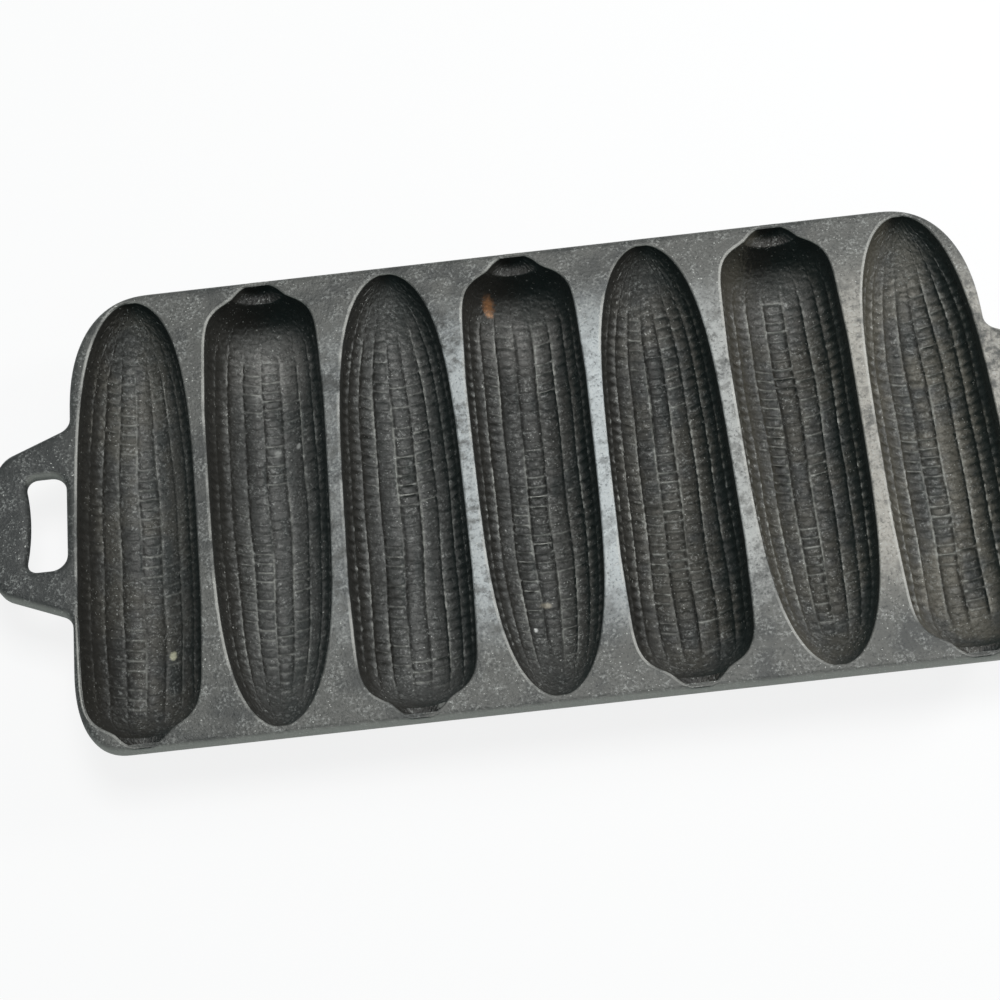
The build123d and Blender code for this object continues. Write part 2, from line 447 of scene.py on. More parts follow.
def flat_skin(
    name: str, outline: np.ndarray, holes: list[np.ndarray], height: float, inner: np.ndarray
) -> bpy.types.Object:
    """Fills a flat outline with holes.

    Args:
        name: Name of the new object.
        outline: Flat points round the outside.
        holes: Flat points round each hole.
        height: Height of the skin.
        inner: Further flat points for its triangles to use.

    Returns:
        The skin, open along its outline and its holes.
    """
    loops = [outline] + holes
    edges = []
    start = 0
    for loop in loops:
        count = len(loop)
        edges.extend((start + i, start + (i + 1) % count) for i in range(count))
        start += count
    points = np.concatenate(loops + [inner])
    found = delaunay_2d_cdt([Vector(point) for point in points], edges, [], 1, 1e-7)
    flat = np.array([tuple(point) for point in found[0]])
    faces = np.array([face for face in found[2]])
    middles = flat[faces].mean(1)
    kept = inside(middles, outline)
    for hole in holes:
        kept &= ~inside(middles, hole)
    mesh = bpy.data.meshes.new(name)
    solid = np.column_stack([flat, np.full(len(flat), height)])
    mesh.from_pydata(solid.tolist(), [], faces[kept].tolist())
    skin = bpy.data.objects.new(name, mesh)
    bpy.context.scene.collection.objects.link(skin)
    return skin


def join(pieces: list[bpy.types.Object], weld: float) -> bpy.types.Object:
    """Joins pieces into the first one and welds vertices that lie together.

    Args:
        pieces: The pieces to join.
        weld: Distance under which vertices are welded.

    Returns:
        The joined piece.
    """
    make_active(pieces[0])
    for piece in pieces[1:]:
        piece.select_set(True)
    bpy.ops.object.join()
    bpy.ops.object.mode_set(mode="EDIT")
    bpy.ops.mesh.select_all(action="SELECT")
    bpy.ops.mesh.remove_doubles(threshold=weld)
    bpy.ops.mesh.select_mode(type="EDGE")
    bpy.ops.mesh.select_all(action="DESELECT")
    bpy.ops.mesh.select_non_manifold()
    bpy.ops.object.mode_set(mode="OBJECT")
    loose = sum(edge.select for edge in pieces[0].data.edges)
    if loose:
        log.warning("%s: %d open edges", pieces[0].name, loose)
    return pieces[0]


def edge_loop(points: np.ndarray) -> np.ndarray:
    """Walks round the edge of a grid of points once."""
    sides = [points[:-1, 0], points[-1, :-1], points[:0:-1, -1], points[0, :0:-1]]
    return np.concatenate(sides)


def outward(loop: np.ndarray) -> np.ndarray:
    """Unit directions that point out of a closed flat loop.

    Args:
        loop: Points of the loop in order, by two or three.

    Returns:
        One direction in the plane for each point.
    """
    flat = loop[:, :2]
    along = np.roll(flat, -1, 0) - np.roll(flat, 1, 0)
    normal = np.stack([along[:, 1], -along[:, 0]], 1)
    normal /= np.maximum(np.linalg.norm(normal, axis=1, keepdims=True), TINY)
    following = np.roll(flat, -1, 0)
    area = np.sum(flat[:, 0] * following[:, 1] - following[:, 0] * flat[:, 1])
    return normal if area > 0 else -normal


class Rim:
    """Rings that grow from the open edge of a piece, each moved to its own place."""

    def __init__(self, piece: bpy.types.Object, loop: np.ndarray) -> None:
        """Notes the piece and its open edge.

        Args:
            piece: The piece in question.
            loop: Points of its open edge, in order round it.
        """
        self.piece = piece
        self.last = loop

    def grow(self, rings: list[np.ndarray]) -> None:
        """Extrudes the edge once for each ring and puts the new vertices there.

        Args:
            rings: Points of each ring, in the order of the loop.
        """
        make_active(self.piece)
        bpy.ops.object.mode_set(mode="EDIT")
        bpy.ops.mesh.select_mode(type="EDGE")
        bpy.ops.mesh.select_all(action="SELECT")
        bpy.ops.mesh.region_to_loop()
        for ring in rings:
            self.extrude(ring)

    def extrude(self, ring: np.ndarray) -> None:
        """Extrudes the selected edge once.

        Args:
            ring: Points for the new vertices.
        """
        bpy.ops.object.mode_set(mode="EDIT")
        bpy.ops.mesh.extrude_edges_move()
        bpy.ops.object.mode_set(mode="OBJECT")
        self._move_selected(ring)
        self.last = ring

    def _near(self, point: np.ndarray) -> int:
        """Index of the ring's point that lies at a vertex."""
        return int(np.argmin(np.sum((self.last - point) ** 2, 1)))

    def _move_selected(self, ring: np.ndarray) -> None:
        """Moves the vertices that the last extrusion made to a ring."""
        flat = vertices_of(self.piece)
        chosen = np.empty(len(flat), bool)
        self.piece.data.vertices.foreach_get("select", chosen)
        for index in np.flatnonzero(chosen):
            flat[index] = ring[self._near(flat[index])]
        move_vertices(self.piece, flat)


@dataclass
class Outline:
    """The plate's outline: a body with rounded corners, a bow handle at each end and a slot in each."""

    half_length: float = 139.9
    half_width: float = 74.1
    tip_run: float = 26.0
    tip_rise: float = 39.0
    stem_run: float = 16.0
    stem_rise: float = 27.0
    fullness: float = 2.4
    handle_reach: float = 28.4
    root_half: float = 31.0
    tip_half: float = 23.0
    tip_bow: float = 9.0
    tip_round: float = 8.0
    root_round: float = 4.5
    slot_half: float = 15.2
    slot_width: float = 12.9
    slot_start: float = 1.3
    slot_pinch: float = 1.8
    slot_inner_round: float = 4.8
    slot_outer_round: float = 3.2
    corner_steps: int = 24
    bow_corner_steps: int = 10
    bow_steps: int = 14
    slot_steps: int = 8
    slot_inner_steps: int = 10
    longest_edge: float = 1.2
    longest_slot_edge: float = 0.7

    @property
    def joint(self) -> float:
        """Distance from the middle to the flat joint between deck and handle."""
        return self.half_length + self.slot_start + self.slot_width / 2

    def half_length_at(self, side_y: np.ndarray) -> np.ndarray:
        """Half length of the body at a distance across, with its corners rounded.

        Args:
            side_y: Distances from the middle, where the far side is positive.

        Returns:
            The half length of the body there.
        """
        run = np.where(side_y > 0, self.tip_run, self.stem_run)
        rise = np.where(side_y > 0, self.tip_rise, self.stem_rise)
        share = np.clip((np.abs(side_y) - self.half_width + rise) / rise, 0.0, 1.0)
        return self.half_length - run + run * (1 - share**self.fullness) ** (1 / self.fullness)

    def _corner(self, far: bool) -> list[tuple[float, float]]:
        """Points of a right hand corner, from the body's end to its long side."""
        run, rise = (self.tip_run, self.tip_rise) if far else (self.stem_run, self.stem_rise)
        sign = 1 if far else -1
        points = []
        for step in range(self.corner_steps + 1):
            turn = pi / 2 * step / self.corner_steps
            x = self.half_length - run + run * cos(turn) ** (2 / self.fullness)
            y = self.half_width - rise + rise * sin(turn) ** (2 / self.fullness)
            points.append((x, sign * y))
        return points

    def _handle(self) -> list[tuple[float, float]]:
        """Points of the upper half of the right handle, from its root to the middle of its bow."""
        root = Vector((self.half_length, self.root_half))
        tip = Vector((self.half_length + self.handle_reach - self.tip_bow, self.tip_half))
        slope = (tip - root).normalized()
        run = self.root_round * np.tan(Vector((0, -1)).angle(slope) / 2)
        points = arc_between(root + Vector((0, run)), root, root + slope * run)
        radius = (self.tip_half**2 + self.tip_bow**2) / (2 * self.tip_bow)
        bow = Vector((self.half_length + self.handle_reach - radius, 0.0))
        inward = Vector((slope.y, -slope.x))
        start = root + inward * self.tip_round
        away = start - bow
        rest = (radius - self.tip_round) ** 2 - away.length_squared
        along = -away.dot(slope) + sqrt(away.dot(slope) ** 2 + rest)
        middle = start + slope * along
        first, last = middle - inward * self.tip_round, bow + (middle - bow).normalized() * radius
        corner = circle_arc(middle, first, last, self.bow_corner_steps)
        crown = circle_arc(bow, last, bow + Vector((radius, 0.0)), self.bow_steps)
        return points + corner + crown[1:]

    def plate(self) -> np.ndarray:
        """Points round the whole plate, counter clockwise."""
        upper = self._handle()
        right_far = self._corner(True)
        right_near = self._corner(False)
        right = right_near[::-1] + [(x, -y) for x, y in upper] + upper[::-1][1:] + right_far
        left = [(-x, y) for x, y in right[::-1]]
        return spread(np.array(right + left), self.longest_edge)

    def slot(self, hand: Hand) -> np.ndarray:
        """Points round one slot."""
        inner = self.half_length + self.slot_start
        outer = inner + self.slot_width
        radius = (self.slot_half**2 + self.slot_pinch**2) / (2 * self.slot_pinch)
        pinch = Vector((outer - self.slot_pinch + radius, 0.0))
        rise = self.slot_half - self.slot_outer_round
        middle = Vector((pinch.x - sqrt((radius + self.slot_outer_round) ** 2 - rise**2), rise))
        last = middle + (pinch - middle).normalized() * self.slot_outer_round
        outer_corner = circle_arc(middle, last, Vector((middle.x, self.slot_half)), self.slot_steps)
        centre = Vector((inner + self.slot_inner_round, self.slot_half - self.slot_inner_round))
        first = Vector((centre.x, self.slot_half))
        inner_corner = circle_arc(centre, first, Vector((inner, centre.y)), self.slot_inner_steps)
        face = circle_arc(pinch, pinch + Vector((-radius, 0.0)), last, self.slot_steps)
        upper = face + outer_corner[1:] + inner_corner
        lower = [(x, -y) for x, y in upper[::-1]]
        points = np.array(upper + lower)
        return spread(points * np.array([hand.value, 1.0]), self.longest_slot_edge)


def circle_arc(centre: Vector, first: Vector, last: Vector, steps: int) -> list[tuple[float, float]]:
    """Points along the shorter way round a circle.

    Args:
        centre: Middle of the circle.
        first: Point where the arc starts.
        last: Point where it ends.
        steps: Number of pieces.

    Returns:
        Points from the first to the last.
    """
    start, end = first - centre, last - centre
    turn = np.arctan2(start.x * end.y - start.y * end.x, start.dot(end))
    points = []
    for step in range(steps + 1):
        spun = Matrix.Rotation(float(turn) * step / steps, 2) @ start
        points.append((centre.x + spun.x, centre.y + spun.y))
    return points


def arc_between(first: Vector, corner: Vector, last: Vector) -> list[tuple[float, float]]:
    """Rounds a corner from a point on one edge to a point on the other.

    Args:
        first: Point on the first edge.
        corner: The sharp corner.
        last: Point on the second edge, as far from the corner as the first.

    Returns:
        Points of the rounded corner.
    """
    bisector = (first + last) / 2 - corner
    chord = (last - first).length / 2
    run = (first - corner).length
    centre = corner + bisector.normalized() * (run * run / sqrt(max(run * run - chord * chord, TINY)))
    return circle_arc(centre, first, last, ARC_STEPS)


def spread(points: np.ndarray, longest: float) -> np.ndarray:
    """Adds points on the long edges of a closed loop and drops doubled ones.

    Args:
        points: Points of the loop.
        longest: Length above which an edge is divided.

    Returns:
        The loop with edges of about that length or less.
    """
    out = []
    for near, far in zip(points, np.roll(points, -1, 0)):
        length = float(np.linalg.norm(far - near))
        if length < SHORTEST_EDGE:
            continue
        parts = max(1, int(np.ceil(length / longest)))
        out.extend(near + (far - near) * part / parts for part in range(parts))
    return np.array(out)


@dataclass
class Pan:
    """Sizes that every sub-assembly of the pan shares, in millimetres."""

    form: CobForm = field(default_factory=CobForm)
    outline: Outline = field(default_factory=Outline)
    kernels: Kernels = field(default_factory=Kernels)
    cups: int = 7
    pitch: float = 40.0
    top: float = 25.4
    thickness: float = 3.5
    lip_round: float = 0.6
    lip_flat: float = 0.3

    @property
    def underside(self) -> float:
        """Height of the deck's underside."""
        return self.top - self.thickness

    def centre(self, index: int) -> float:
        """Place of a cup along X."""
        return self.pitch * (index - (self.cups - 1) / 2)

    def turned(self, index: int) -> int:
        """Minus one where a cup's tip points towards the cook, or else one."""
        return -1 if index % 2 else 1


@dataclass
class CobCup:
    """One cup: the hollow with its kernels, the worn lip round its mouth with a painted highlight on its
    left side, and the smooth outside.
    """

    pan: Pan
    index: int
    band_columns: int = 6
    row_shares: tuple[float, ...] = (0.0, 0.03, 0.07, 0.12, 0.19, 0.29, 0.42, 0.56, 0.7, 0.81, 0.89, 0.95)
    row_step: float = 0.3
    stem_end_depth: float = 3.2
    tip_end_depth: float = 1.8
    grain: float = 0.06
    grain_seed: int = 70
    grain_limit: float = 2.0
    grain_border: int = 3
    seam_step: float = 0.25
    weld: float = 0.002
    place_samples: int = 6001
    turn_samples: int = 241
    shallow_band_share: float = 0.5
    lip_steps: int = 5
    # The lip line is wear all round, with a painted highlight on the lip's left side, where it faces right.
    lip_worn_height: float = 0.8
    lip_worn_half: float = 0.3
    lip_worn_least: float = 0.1
    lip_highlight_rate: float = 3.0
    lip_dark_rate: float = 1.4
    lip_slack: float = 0.01
    shell_rows: int = 76
    shell_columns: int = 33
    shell_end_gap: float = 0.02
    smooth_degrees: float = 50.0
    # Painted light on the floor below the far butt wall, where that wall shades it.
    painted_light_depth: float = 11.0
    painted_light_fade: float = 6.0
    painted_light_start: float = 36.0
    painted_light_run: float = 18.0
    # Painted shade in the stem troughs, and on the far butt walls that face the cook.
    near_stem_shade: tuple[float, float] = (66.0, 2.0)
    far_stem_shade: tuple[float, float] = (63.5, 3.0)

    @property
    def form(self) -> CobForm:
        """Shape of the hollow."""
        return self.pan.form

    @property
    def name(self) -> str:
        """Name of the CAD node that the cup stands for."""
        return f"cob_cup_{self.index + 1}"

    def places(self) -> np.ndarray:
        """Places of the rows along the hollow, an even step apart over its floor."""
        first = self.form.reach(Side.STEM, self.stem_end_depth)
        last = self.form.reach(Side.TIP, self.tip_end_depth)
        fine = (first + last) / 2 - (last - first) / 2 * np.cos(np.linspace(0, pi, self.place_samples))
        _, depth = self.form.section(fine)
        runs = np.concatenate([[0.0], np.cumsum(np.hypot(np.diff(fine), np.diff(depth)))])
        return np.interp(np.linspace(0, runs[-1], int(runs[-1] / self.row_step) + 1), runs, fine)

    def columns(self) -> np.ndarray:
        """Row coordinate of each column: below 0 and above the number of rows in the plain band."""
        rows = self.pan.kernels.rows
        shares = np.array(self.row_shares)
        flipped = np.concatenate([[0.0], 1.0 - shares[:0:-1]])
        inner = [row + (shares if row <= rows // 2 else flipped) for row in range(rows)]
        outer = np.arange(self.band_columns, 0, -1) / self.band_columns
        return np.concatenate([-outer, *inner, [float(rows)], rows + outer[::-1]])

    def turns(self, places: np.ndarray, columns: np.ndarray) -> tuple[np.ndarray, np.ndarray]:
        """Angles round each section that put the columns an even way apart over the floor.

        Args:
            places: Places along the hollow.
            columns: Row coordinate of each column.

        Returns:
            The angle of each point, and the width of a row at each place.
        """
        rows = self.pan.kernels.rows
        half, depth = self.form.section(places)
        band = np.minimum(self.pan.thickness, depth * self.shallow_band_share)
        lip_turn = np.arcsin(np.clip(self.pan.lip_round / depth, 0, 1))
        band_turn = np.arcsin(np.clip(band / depth, 0, 1))
        fine = band_turn[:, None] + (pi - 2 * band_turn[:, None]) * np.linspace(0, 1, self.turn_samples)
        x, z = half[:, None] * np.cos(fine), depth[:, None] * np.sin(fine)
        steps = np.hypot(np.diff(x, axis=1), np.diff(z, axis=1))
        runs = np.concatenate([np.zeros((len(places), 1)), np.cumsum(steps, 1)], 1)
        width = runs[:, -1] / rows
        turn = np.empty((len(places), len(columns)))
        inner = (columns >= 0) & (columns <= rows)
        for line in range(len(places)):
            turn[line, inner] = np.interp(columns[inner] * width[line], runs[line], fine[line])
        before, after = columns < 0, columns > rows
        gap = (band_turn - lip_turn)[:, None]
        turn[:, before] = band_turn[:, None] + gap * columns[before]
        turn[:, after] = pi - band_turn[:, None] + gap * (columns[after] - rows)
        return turn, width

    def hollow(self) -> tuple[np.ndarray, Pressing]:
        """Models the hollow below the lip.

        Returns:
            Its points by rows along it and columns across it, and what the kernels do to them.
        """
        places, columns = self.places(), self.columns()
        half, depth = self.form.section(places)
        turn, width = self.turns(places, columns)
        out_x, out_z = depth[:, None] * np.cos(turn), half[:, None] * np.sin(turn)
        length = np.hypot(out_x, out_z)
        grid_row = np.broadcast_to(columns, turn.shape)
        grid_place = np.broadcast_to(places[:, None], turn.shape)
        grid_width = np.broadcast_to(width[:, None], turn.shape)
        kernels = self.pan.kernels
        pressing = kernels.pressed(grid_row, grid_place, grid_width, self.form, self.index)
        push = pressing.push * (kernels.wall_share + (1 - kernels.wall_share) * out_z / length)
        push = push + self.grain * self._rough_skin(turn.shape)
        x = half[:, None] * np.cos(turn) + push * out_x / length
        z = depth[:, None] * np.sin(turn) + push * out_z / length
        return self.stand(np.stack([x, grid_place, self.pan.top - z], 2)), pressing

    def _far_butt_light(self, points: np.ndarray) -> np.ndarray:
        """Share of painted light on the floor below the far butt wall, which lightens the floor that the
        wall shades.
        """
        if self.pan.turned(self.index) > 0:
            return np.zeros(points.shape[:-1])
        low = smooth_step((self.pan.top - points[..., 2] - self.painted_light_depth) / self.painted_light_fade)
        return smooth_step((points[..., 1] - self.painted_light_start) / self.painted_light_run) * low

    def _stem_shade(self, points: np.ndarray) -> np.ndarray:
        """Share of painted shade in the stem trough, and on the butt wall too where that wall faces the
        cook.
        """
        turned = self.pan.turned(self.index)
        start, run = self.near_stem_shade if turned > 0 else self.far_stem_shade
        return smooth_step((-points[..., 1] * turned - start) / run)

    def _rough_skin(self, shape: tuple[int, int]) -> np.ndarray:
        """Grain of the cast surface, smooth over a few points and gone at the edge.

        Args:
            shape: Rows and columns of the grid.

        Returns:
            About minus one to one at each point.
        """
        rough = np.random.default_rng(self.grain_seed + self.index).normal(size=shape)
        for axis, passes in ((0, 2), (1, 1)):
            for _ in range(passes):
                rough = (np.roll(rough, 1, axis) + 2 * rough + np.roll(rough, -1, axis)) / 4
        rough /= rough.std()
        border = self.grain_border
        rough[:border] = rough[-border:] = 0.0
        rough[:, :border] = rough[:, -border:] = 0.0
        return np.clip(rough, -self.grain_limit, self.grain_limit)

    def stand(self, points: np.ndarray) -> np.ndarray:
        """Turns points end for end where this cup is turned, and moves them to its place in the row."""
        turned = self.pan.turned(self.index)
        moved = points * np.array([turned, turned, 1.0])
        return moved + np.array([self.pan.centre(self.index), 0.0, 0.0])

    def lip(self, loop: np.ndarray) -> list[np.ndarray]:
        """Rings of the rounded lip, the narrow flat round it, and the joint with the deck.

        Args:
            loop: Open edge of the hollow.

        Returns:
            Points of each ring.
        """
        normal = outward(loop)
        lip, top = self.pan.lip_round, self.pan.top
        rings = [np.column_stack([loop[:, :2], np.full(len(loop), top - lip)])]
        for step in range(1, self.lip_steps + 1):
            turn = pi / 2 * step / self.lip_steps
            flat = loop[:, :2] + normal * lip * (1 - cos(turn))
            rings.append(np.column_stack([flat, np.full(len(loop), top - lip + lip * sin(turn))]))
        seam = self.seam(loop)
        rings.append(np.column_stack([seam, np.full(len(loop), top)]))
        rings.append(np.column_stack([seam, np.full(len(loop), self.pan.underside)]))
        return rings

    def seam(self, loop: np.ndarray) -> np.ndarray:
        """Flat outline where the cup's lip meets the deck."""
        return loop[:, :2] + outward(loop) * (self.pan.lip_round + self.pan.lip_flat)

    def outside(self) -> np.ndarray:
        """Points of the smooth outside below the deck."""
        wall, level = self.form.wall, self.pan.thickness
        first, last = self.form.reach(Side.STEM, level, wall), self.form.reach(Side.TIP, level, wall)
        places = (first + last) / 2 - (last - first) / 2 * np.cos(pi * np.linspace(0, 1, self.shell_rows))
        places[0], places[-1] = first + self.shell_end_gap, last - self.shell_end_gap
        half, depth = self.form.section(places, wall)
        start = np.arcsin(np.clip(level / depth, 0, 1))[:, None]
        turn = start + (pi - 2 * start) * np.linspace(0, 1, self.shell_columns)
        x, z = half[:, None] * np.cos(turn), depth[:, None] * np.sin(turn)
        z[0] = z[-1] = level
        y = np.broadcast_to(places[:, None], x.shape)
        points = self.stand(np.stack([x, y, self.pan.top - z], 2))
        outline = self.pan.outline
        points[..., 1] = np.clip(points[..., 1], -outline.half_width, outline.half_width)
        limit = outline.half_length_at(points[..., 1])
        points[..., 0] = np.clip(points[..., 0], -limit, limit)
        return points

    def build(self) -> tuple[bpy.types.Object, np.ndarray]:
        """Models the cup as one closed shell.

        Returns:
            The piece, and the flat outline of its joint with the deck.
        """
        points, pressing = self.hollow()
        sheet = Sheet(self.name, points)
        cup = sheet.piece
        # crest holds wear with a painted highlight, groove painted shade beside the crests, butt painted
        # light below the far butt wall, and stem painted shade in the stem trough.
        layers = {
            "crest": pressing.crest,
            "groove": pressing.groove,
            "hollow": np.ones(points.shape[:2]),
            "butt": self._far_butt_light(points),
            "stem": self._stem_shade(points),
        }
        for layer, shares in layers.items():
            sheet.paint(layer, shares)
        loop = edge_loop(points)
        Rim(cup, loop).grow(self.lip(loop))
        self._paint_lip(cup, points.shape[0] * points.shape[1])
        outside = self.outside()
        shell = Sheet(self.name + "_outside", outside).piece
        edge = edge_loop(outside)[:, :2]
        ring = flat_skin(self.name + "_ring", edge, [self.seam(loop)], self.pan.underside, np.zeros((0, 2)))
        join([cup, shell, ring], self.weld)
        bpy.ops.object.mode_set(mode="EDIT")
        self._trim()
        face_outwards()
        bpy.ops.object.mode_set(mode="OBJECT")
        bpy.ops.object.shade_smooth_by_angle(angle=radians(self.smooth_degrees))
        to_metres(cup)
        return cup, thinned(self.seam(loop), self.seam_step)

    def _paint_lip(self, cup: bpy.types.Object, hollow_count: int) -> None:
        """Lets the hollow's dark finish end over the lip, and marks the worn line round the lip, with a
        painted highlight on the lip's left side.

        Args:
            cup: The hollow with its lip.
            hollow_count: Number of vertices of the hollow alone, which come first.
        """
        mesh = cup.data
        flat = vertices_of(cup)[hollow_count:]
        risen = (flat[:, 2] - self.pan.top + self.pan.lip_round) / self.pan.lip_round
        below = risen < -self.lip_slack
        dark = np.where(below, 0.0, 1.0 - smooth_step(risen * self.lip_dark_rate))
        # Painted highlight: the line is strongest on the lip's left side, where it faces right.
        left = (self.pan.centre(self.index) - flat[:, 0]) / self.form.width
        left = smooth_step(left * self.lip_highlight_rate)
        line = np.exp(-(((risen - self.lip_worn_height) / self.lip_worn_half) ** 2))
        worn = np.where(below, 0.0, line) * (self.lip_worn_least + (1.0 - self.lip_worn_least) * left)
        none = np.zeros(len(flat))
        # The lip carries the painted shade of the stem trough too.
        layers = {"hollow": dark, "crest": none, "groove": none, "butt": none, "stem": self._stem_shade(flat)}
        for name, shares in layers.items():
            layer = mesh.attributes[name]
            values = np.empty(len(mesh.vertices), np.float32)
            layer.data.foreach_get("value", values)
            values[hollow_count:] = shares
            layer.data.foreach_set("value", values)
        values = np.zeros(len(mesh.vertices), np.float32)
        values[hollow_count:] = worn
        mesh.attributes.new("rim", "FLOAT", "POINT").data.foreach_set("value", values)

    def _trim(self) -> None:
        """Cuts the shell half way to its neighbours and flat where it rests."""
        centre, half = self.pan.centre(self.index), self.pan.pitch / 2
        cuts = [(Vector((0, 0, 0)), Vector((0, 0, -1)))]
        if self.index > 0:
            cuts.append((Vector((centre - half, 0, 0)), Vector((-1, 0, 0))))
        if self.index < self.pan.cups - 1:
            cuts.append((Vector((centre + half, 0, 0)), Vector((1, 0, 0))))
        for place, way in cuts:
            bpy.ops.mesh.select_all(action="SELECT")
            bpy.ops.mesh.bisect(plane_co=place, plane_no=way, use_fill=True, clear_outer=True)


@dataclass
class Deck:
    """The flat plate with its mouths, and the outer half of each bow handle cut from it."""

    pan: Pan
    seams: list[np.ndarray]
    edge_round: float = 2.2
    under_round: float = 0.6
    mesh_step: float = 2.5
    weld: float = 0.002
    over_steps: int = 6
    under_steps: int = 4
    jitter: float = 0.25
    clear_share: float = 0.45
    batch: int = 200
    seed: int = 5
    smooth_degrees: float = 35.0

    def rings(self, loop: np.ndarray, away: int) -> list[np.ndarray]:
        """Rings of a rounded edge from the deck's top to its underside.

        Args:
            loop: Flat outline of the edge.
            away: 1 where the plate lies inside the outline, or -1 at a slot.

        Returns:
            Points of each ring, from the flat top inwards to the flat underside.
        """
        normal = outward(loop) * away
        over, under = self.edge_round, self.under_round
        rings = []
        for step in range(self.over_steps + 1):
            turn = pi / 2 * step / self.over_steps
            flat = loop - normal * over * (1 - sin(turn))
            height = self.pan.top - over + over * cos(turn)
            rings.append(np.column_stack([flat, np.full(len(loop), height)]))
        for step in range(self.under_steps + 1):
            turn = pi / 2 * step / self.under_steps
            flat = loop - normal * under * (1 - cos(turn))
            height = self.pan.underside + under - under * sin(turn)
            rings.append(np.column_stack([flat, np.full(len(loop), height)]))
        return rings

    def build(self) -> dict[str, bpy.types.Object]:
        """Models the plate and cuts it into the deck and its two handles."""
        outline = self.pan.outline
        edges = [self.rings(outline.plate(), 1)]
        edges += [self.rings(outline.slot(hand), -1) for hand in Hand]
        for seam in self.seams:
            heights = (self.pan.top, self.pan.underside)
            edges.append([np.column_stack([seam, np.full(len(seam), height)]) for height in heights])
        parts = [self._strip(rings) for rings in edges]
        for end, height in ((0, self.pan.top), (-1, self.pan.underside)):
            flat = [rings[end][:, :2] for rings in edges]
            parts.append(flat_skin("skin", flat[0], flat[1:], height, self._inner_points(flat)))
        plate = join(parts, self.weld)
        plate.name = "plate"
        bpy.ops.object.mode_set(mode="EDIT")
        face_outwards()
        bpy.ops.object.mode_set(mode="OBJECT")
        return self._cut(plate)

    def _strip(self, rings: list[np.ndarray]) -> bpy.types.Object:
        """Grows one edge of the plate from a primitive circle.

        Args:
            rings: Points of each ring.

        Returns:
            An open strip that runs once round.
        """
        deselect()
        bpy.ops.mesh.primitive_circle_add(vertices=len(rings[0]), radius=1.0, fill_type="NOTHING")
        strip = bpy.context.object
        move_vertices(strip, rings[0])
        bpy.ops.object.mode_set(mode="EDIT")
        bpy.ops.mesh.select_mode(type="EDGE")
        bpy.ops.mesh.select_all(action="SELECT")
        rim = Rim(strip, rings[0])
        for ring in rings[1:]:
            rim.extrude(ring)
        return strip

    def _inner_points(self, loops: list[np.ndarray]) -> np.ndarray:
        """Evenly spread points on the deck, clear of its edges and mouths."""
        low, high = loops[0].min(0), loops[0].max(0)
        x, y = np.meshgrid(*(np.arange(low[axis], high[axis], self.mesh_step) for axis in (0, 1)))
        draw = np.random.default_rng(self.seed)
        points = np.column_stack([x.ravel(), y.ravel()])
        points += draw.uniform(-self.jitter, self.jitter, points.shape) * self.mesh_step
        kept = inside(points, loops[0])
        for loop in loops[1:]:
            kept &= ~inside(points, loop)
        points = points[kept]
        gap = np.full(len(points), np.inf)
        for loop in loops:
            for start in range(0, len(loop), self.batch):
                part = loop[start : start + self.batch]
                far = np.linalg.norm(points[:, None] - part[None], axis=2).min(1)
                gap = np.minimum(gap, far)
        return points[gap > self.mesh_step * self.clear_share]

    def _cut(self, plate: bpy.types.Object) -> dict[str, bpy.types.Object]:
        """Cuts the plate at the flat joint with each handle.

        Args:
            plate: The whole plate.

        Returns:
            The deck and the handles by name.
        """
        joint = self.pan.outline.joint
        pieces = {}
        for name, cuts in (
            ("left_handle", [(-joint, 1)]),
            ("right_handle", [(joint, -1)]),
            ("deck_plate", [(-joint, -1), (joint, 1)]),
        ):
            make_active(plate)
            bpy.ops.object.duplicate()
            piece = bpy.context.object
            piece.name = name
            bpy.ops.object.mode_set(mode="EDIT")
            for place, way in cuts:
                bpy.ops.mesh.select_all(action="SELECT")
                bpy.ops.mesh.bisect(
                    plane_co=(place, 0, 0), plane_no=(way, 0, 0), use_fill=True, clear_outer=True
                )
            bpy.ops.object.mode_set(mode="OBJECT")
            bpy.ops.object.shade_smooth_by_angle(angle=radians(self.smooth_degrees))
            to_metres(piece)
            pieces[name] = piece
        bpy.data.objects.remove(plate)
        return pieces


Colour = tuple[float, float, float, float]
Span = tuple[float, float]
Socket = bpy.types.NodeSocket


